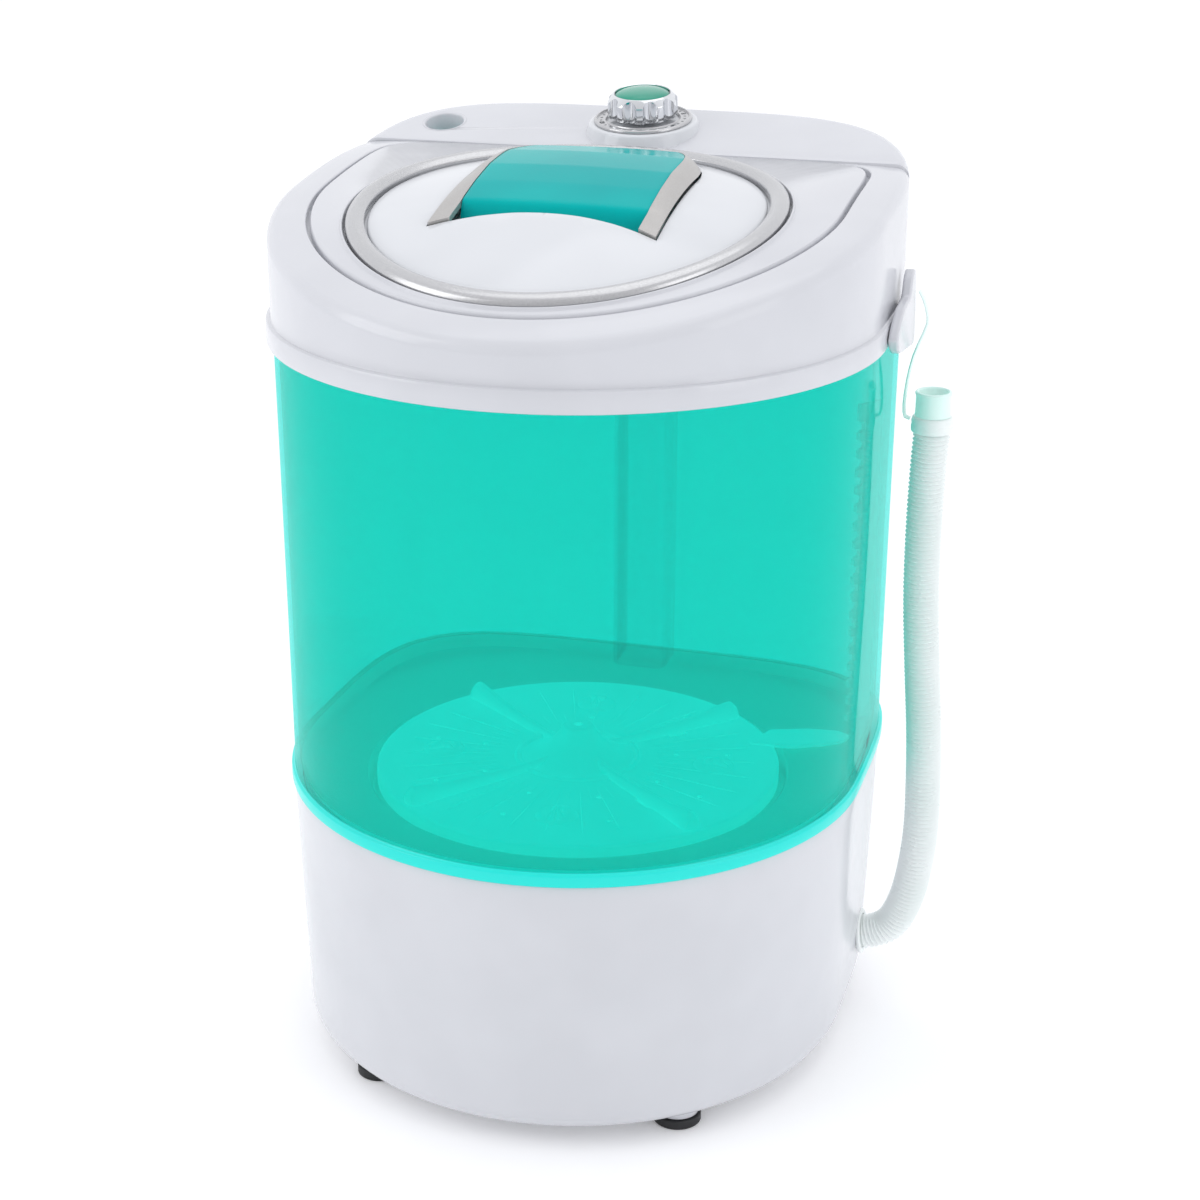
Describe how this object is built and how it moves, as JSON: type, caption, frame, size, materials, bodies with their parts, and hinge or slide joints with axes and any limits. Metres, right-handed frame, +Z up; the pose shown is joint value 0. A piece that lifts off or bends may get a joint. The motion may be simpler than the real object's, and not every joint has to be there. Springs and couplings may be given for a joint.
{
  "type": "portable mini washer",
  "caption": "Mini washing machine: a see-through round tub on a motor base, sloping top cover with lift-off lid, rear timer knob and water inlet, corrugated drain hose at the side.",
  "frame": {"origin": "on the floor, on the vertical axis that the pulsator turns about", "axes": "+Z up, front of the machine towards -Y, +X to the right as seen from the front, where the drain hose is"},
  "size_m": [0.3763, 0.341, 0.537],
  "materials": {
    "white_abs": "glossy moulded ABS",
    "turquoise_tub": "glossy, see-through tinted moulding",
    "aqua_white": "moulded, satin gloss",
    "green_plastic": "high gloss",
    "silver_plastic": "silver-painted plastic, satin gloss",
    "warm_grey_plastic": "satin gloss",
    "chrome_plastic": "bright plated plastic",
    "black_rubber": "matt moulded rubber",
    "pale_hose": "semi-gloss blow-moulded plastic",
    "steel": "zinc-plated steel",
    "cast_aluminium": "as cast",
    "grey_plastic": "moulded, satin",
    "sintered_bronze": "sintered, oil-filled"
  },
  "bodies": {
    "washer": {"base_housing": "white_abs", "base_plate": "white_abs", "base_screw_1": "steel", "base_screw_2": "steel", "base_screw_3": "steel", "base_screw_4": "steel", "bearing_housing": "grey_plastic", "bearing_lower": "sintered_bronze", "bearing_upper": "sintered_bronze", "control_panel": "white_abs", "cord_gland": "black_rubber", "dial_ring": "silver_plastic", "drain_hose": "pale_hose", "drive_belt": "black_rubber", "foot_boss_front_left": "white_abs", "foot_boss_front_right": "white_abs", "foot_boss_rear_left": "white_abs", "foot_boss_rear_right": "white_abs", "foot_pad_front_left": "black_rubber", "foot_pad_front_right": "black_rubber", "foot_pad_rear_left": "black_rubber", "foot_pad_rear_right": "black_rubber", "hook_bracket": "white_abs", "hose_collar": "pale_hose", "hose_cuff": "pale_hose", "hose_strap": "pale_hose", "inlet_sleeve": "white_abs", "inner_deck": "white_abs", "knob_seat": "white_abs", "motor_body": "cast_aluminium", "motor_bracket": "steel", "motor_capacitor": "grey_plastic", "outlet_pipe": "grey_plastic", "overflow_filter": "white_abs", "rear_duct": "turquoise_tub", "shaft_seal": "black_rubber", "sump_strainer": "grey_plastic", "timer_body": "grey_plastic", "top_cover": "white_abs", "tub": "turquoise_tub", "tub_gasket": "black_rubber"},
    "agitator": {"pulsator": "aqua_white", "pulsator_screw": "steel", "drive_shaft": "steel", "driven_pulley": "grey_plastic"},
    "motor_rotor": {"motor_shaft": "steel", "motor_pulley": "cast_aluminium"},
    "timer": {"timer_knob": "chrome_plastic", "knob_cap": "green_plastic", "timer_shaft": "steel"},
    "lid": {"lid_disc": "white_abs", "lid_ring": "silver_plastic", "lid_handle": "green_plastic", "handle_trim_left": "warm_grey_plastic", "handle_trim_right": "warm_grey_plastic"}
  },
  "joints": [
    {"name": "pulsator_spin", "type": "hinge", "parent": "washer", "child": "agitator", "pos_m": [0, 0, 0.12], "axis": [0, 0, 1], "continuous": true},
    {"name": "motor_spin", "type": "hinge", "parent": "washer", "child": "motor_rotor", "pos_m": [-0.078, 0.052, 0.05], "axis": [0, 0, 1], "continuous": true},
    {"name": "timer_turn", "type": "hinge", "parent": "washer", "child": "timer", "pos_m": [0, 0.1345, 0.518], "axis": [0, -0.1392, 0.9903], "range_deg": [-300, 0]},
    {"name": "lid_lift", "type": "slide", "parent": "washer", "child": "lid", "axis": [0, 0, 1], "range_m": [0, 0.12]}
  ],
  "couplings": [
    {"joint": "motor_spin", "follows": "pulsator_spin", "ratio": 3.9286}
  ]
}
